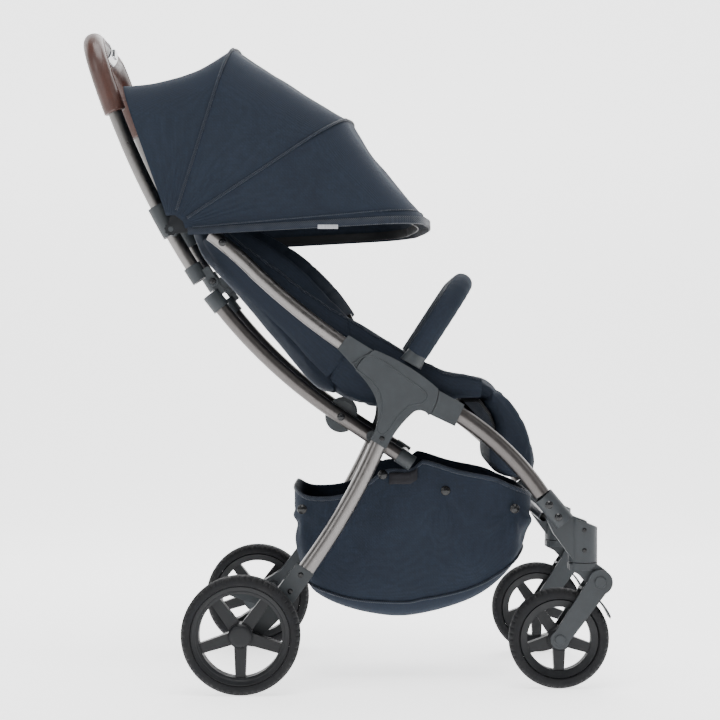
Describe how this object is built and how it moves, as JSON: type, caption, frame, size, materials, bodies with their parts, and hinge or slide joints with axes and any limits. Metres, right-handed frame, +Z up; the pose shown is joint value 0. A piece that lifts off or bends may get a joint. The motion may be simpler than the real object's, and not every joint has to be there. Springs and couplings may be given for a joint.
{
  "type": "baby stroller",
  "caption": "Compact folding stroller: curved tube frame, swivelling front wheels, reclining sling seat, bumper bar, folding canopy, push handle and shopping basket.",
  "frame": {"origin": "centre of the overall box, on the floor", "axes": "+X to the front, +Y to the stroller's left, +Z up"},
  "size_m": [0.8234, 0.48, 1.0227],
  "materials": {
    "frame_dark": "satin taupe grey paint",
    "frame_bright": "satin anodised",
    "moulding": "fine-textured charcoal",
    "cross_steel": "satin",
    "axle_steel": "brushed",
    "rivet": "semi-gloss black",
    "wheel_rim": "satin charcoal",
    "tyre": "matte foam rubber",
    "fabric": "woven navy",
    "webbing": "woven webbing",
    "buckle": "satin",
    "bow_strip": "matte",
    "leather": "brown grained leather, stitched",
    "button": "silver"
  },
  "bodies": {
    "rear_frame": {"hub_cover_left": "moulding", "hub_cover_right": "moulding", "rear_leg_left": "frame_bright", "rear_leg_right": "frame_bright", "rear_brackets": "moulding", "rear_cross_tube": "cross_steel", "rear_axle_pins": "axle_steel", "seat_base": "fabric", "crotch_buckle": "buckle", "basket": "fabric", "bumper_sockets": "moulding"},
    "front_frame": {"front_leg_left": "frame_dark", "front_leg_right": "frame_dark", "front_leg_sleeves": "moulding", "caster_housing_left": "moulding", "caster_housing_right": "moulding", "footrest_bar": "cross_steel", "front_leg_rivets": "rivet"},
    "seat_rails": {"seat_rail_left": "frame_bright", "seat_rail_right": "frame_bright", "rail_sleeves": "moulding", "seat_rail_rivets": "rivet"},
    "seat_back": {"backrest": "fabric", "shoulder_straps": "webbing"},
    "leg_rest": {"leg_rest": "fabric"},
    "lower_handle": {"lower_tube_left": "frame_dark", "lower_tube_right": "frame_dark", "lower_hinge_collars": "moulding", "lower_tube_fittings": "moulding", "lower_cross_tube": "cross_steel", "lower_tube_rivets": "rivet"},
    "upper_handle": {"handlebar_tube": "frame_bright", "handlebar_grip": "leather", "fold_button_housing": "button", "upper_hinge_collars": "moulding", "canopy_brackets": "moulding", "canopy_panel_rear": "fabric"},
    "fold_button": {"fold_button": "button"},
    "canopy_rear": {"canopy_bow_rear": "bow_strip", "canopy_panel_middle": "fabric"},
    "canopy_middle": {"canopy_bow_middle": "bow_strip", "canopy_panel_front": "fabric"},
    "canopy_front": {"canopy_bow_front": "bow_strip"},
    "bumper_bar": {"bumper_bar_core": "axle_steel", "bumper_bar_sleeve": "fabric"},
    "brake_pedal": {"brake_pedal": "moulding"},
    "caster_left": {"caster_head_left": "moulding"},
    "fork_left": {"suspension_fork_left": "moulding", "front_mudguard_left": "moulding"},
    "front_wheel_left": {"front_rim_left": "wheel_rim", "front_tyre_left": "tyre"},
    "rear_wheel_left": {"rear_rim_left": "wheel_rim", "rear_tyre_left": "tyre"},
    "caster_right": {"caster_head_right": "moulding"},
    "fork_right": {"suspension_fork_right": "moulding", "front_mudguard_right": "moulding"},
    "front_wheel_right": {"front_rim_right": "wheel_rim", "front_tyre_right": "tyre"},
    "rear_wheel_right": {"rear_rim_right": "wheel_rim", "rear_tyre_right": "tyre"}
  },
  "joints": [
    {"name": "frame_fold", "type": "hinge", "parent": "rear_frame", "child": "lower_handle", "pos_m": [0.043, 0, 0.387], "axis": [0, -1, 0], "range_deg": [0, 65], "deforming": ["canopy_bow_rear", "canopy_bow_middle", "canopy_bow_front", "canopy_panel_rear", "canopy_panel_middle", "canopy_panel_front", "backrest", "shoulder_straps", "seat_base", "leg_rest", "basket"]},
    {"name": "rail_fold", "type": "hinge", "parent": "rear_frame", "child": "seat_rails", "pos_m": [0.078, 0, 0.462], "axis": [0, -1, 0], "range_deg": [0, 75]},
    {"name": "front_leg_fold", "type": "hinge", "parent": "rear_frame", "child": "front_frame", "pos_m": [0.078, 0, 0.462], "axis": [0, 1, 0], "range_deg": [0, 45]},
    {"name": "handle_fold", "type": "hinge", "parent": "lower_handle", "child": "upper_handle", "pos_m": [-0.203, 0, 0.627], "axis": [0, 1, 0], "range_deg": [0, 130]},
    {"name": "canopy_fold", "type": "hinge", "parent": "canopy_rear", "child": "canopy_middle", "pos_m": [-0.264, 0, 0.7046], "axis": [0, -1, 0], "range_deg": [0, 34]},
    {"name": "canopy_rear_fold", "type": "hinge", "parent": "upper_handle", "child": "canopy_rear", "pos_m": [-0.264, 0, 0.7046], "axis": [0, -1, 0], "range_deg": [0, 28]},
    {"name": "canopy_front_fold", "type": "hinge", "parent": "canopy_middle", "child": "canopy_front", "pos_m": [-0.264, 0, 0.7046], "axis": [0, -1, 0], "range_deg": [0, 25]},
    {"name": "backrest_recline", "type": "hinge", "parent": "seat_rails", "child": "seat_back", "pos_m": [-0.002, 0, 0.46], "axis": [0, 1, 0], "range_deg": [0, 20]},
    {"name": "leg_rest_lift", "type": "hinge", "parent": "rear_frame", "child": "leg_rest", "pos_m": [0.213, 0, 0.46], "axis": [0, -1, 0], "range_deg": [0, 45]},
    {"name": "bumper_bar_release", "type": "slide", "parent": "rear_frame", "child": "bumper_bar", "axis": [0.5446, 0, 0.8387], "range_m": [0, 0.05]},
    {"name": "fold_button_press", "type": "slide", "parent": "upper_handle", "child": "fold_button", "axis": [-1, 0, 0], "range_m": [0, 0.003], "stiffness_N_per_m": 400, "springref_m": -0.004},
    {"name": "brake_pedal_press", "type": "hinge", "parent": "rear_frame", "child": "brake_pedal", "pos_m": [-0.126, 0, 0.112], "axis": [0, -1, 0], "range_deg": [0, 22]},
    {"name": "caster_swivel_left", "type": "hinge", "parent": "front_frame", "child": "caster_left", "pos_m": [0.3674, 0.168, 0.19], "axis": [0, 0, 1], "continuous": true},
    {"name": "suspension_left", "type": "hinge", "parent": "caster_left", "child": "fork_left", "pos_m": [0.392, 0.168, 0.165], "axis": [0, 1, 0], "range_deg": [0, 5], "stiffness_Nm_per_rad": 45, "springref_deg": -6.88},
    {"name": "front_wheel_spin_left", "type": "hinge", "parent": "fork_left", "child": "front_wheel_left", "pos_m": [0.3304, 0.168, 0.077], "axis": [0, 1, 0], "continuous": true},
    {"name": "rear_wheel_spin_left", "type": "hinge", "parent": "rear_frame", "child": "rear_wheel_left", "pos_m": [-0.1556, 0.222, 0.09], "axis": [0, 1, 0], "continuous": true},
    {"name": "caster_swivel_right", "type": "hinge", "parent": "front_frame", "child": "caster_right", "pos_m": [0.3674, -0.168, 0.19], "axis": [0, 0, 1], "continuous": true},
    {"name": "suspension_right", "type": "hinge", "parent": "caster_right", "child": "fork_right", "pos_m": [0.392, -0.168, 0.165], "axis": [0, 1, 0], "range_deg": [0, 5], "stiffness_Nm_per_rad": 45, "springref_deg": -6.88},
    {"name": "front_wheel_spin_right", "type": "hinge", "parent": "fork_right", "child": "front_wheel_right", "pos_m": [0.3304, -0.168, 0.077], "axis": [0, 1, 0], "continuous": true},
    {"name": "rear_wheel_spin_right", "type": "hinge", "parent": "rear_frame", "child": "rear_wheel_right", "pos_m": [-0.1556, -0.222, 0.09], "axis": [0, 1, 0], "continuous": true}
  ],
  "couplings": [
    {"joint": "rail_fold", "follows": "frame_fold", "ratio": 1.1538},
    {"joint": "front_leg_fold", "follows": "frame_fold", "ratio": 0.69231},
    {"joint": "handle_fold", "follows": "frame_fold", "ratio": 2},
    {"joint": "canopy_rear_fold", "follows": "canopy_fold", "ratio": 0.82353},
    {"joint": "canopy_front_fold", "follows": "canopy_fold", "ratio": 0.73529}
  ]
}
